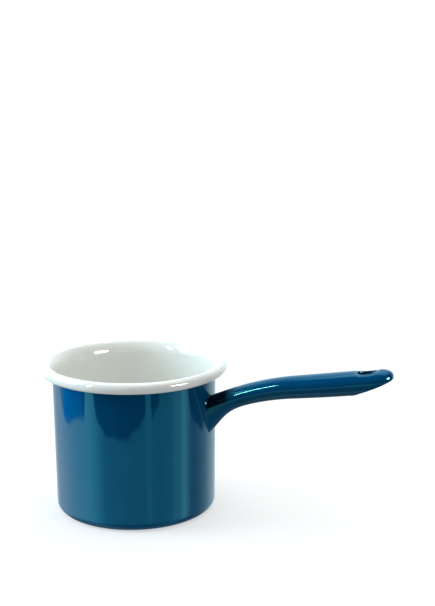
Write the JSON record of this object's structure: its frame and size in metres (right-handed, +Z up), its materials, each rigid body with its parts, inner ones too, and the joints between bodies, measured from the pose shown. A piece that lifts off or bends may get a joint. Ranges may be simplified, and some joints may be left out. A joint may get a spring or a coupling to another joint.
{
  "type": "enamel melting pot",
  "caption": "Deep round pot of enamelled sheet steel with a rolled white rim and one long hollow handle, for melting wax or heating milk on a hob.",
  "frame": {"origin": "middle of the base, on the plane of the foot ring that the pot stands on", "axes": "+Z up along the pot's axis, +X along the handle from the pot to its tip"},
  "size_m": [0.2444, 0.1278, 0.1122],
  "materials": {
    "sheet_steel": "low-carbon enamelling steel, pickled, under the enamel",
    "white_enamel": "glossy white vitreous enamel",
    "blue_enamel": "glossy petrol blue vitreous enamel"
  },
  "bodies": {
    "root": {"vessel": "sheet_steel", "inside_enamel": "white_enamel", "outside_enamel": "blue_enamel", "handle": "sheet_steel", "handle_weld": "sheet_steel", "handle_enamel": "blue_enamel"}
  },
  "joints": []
}
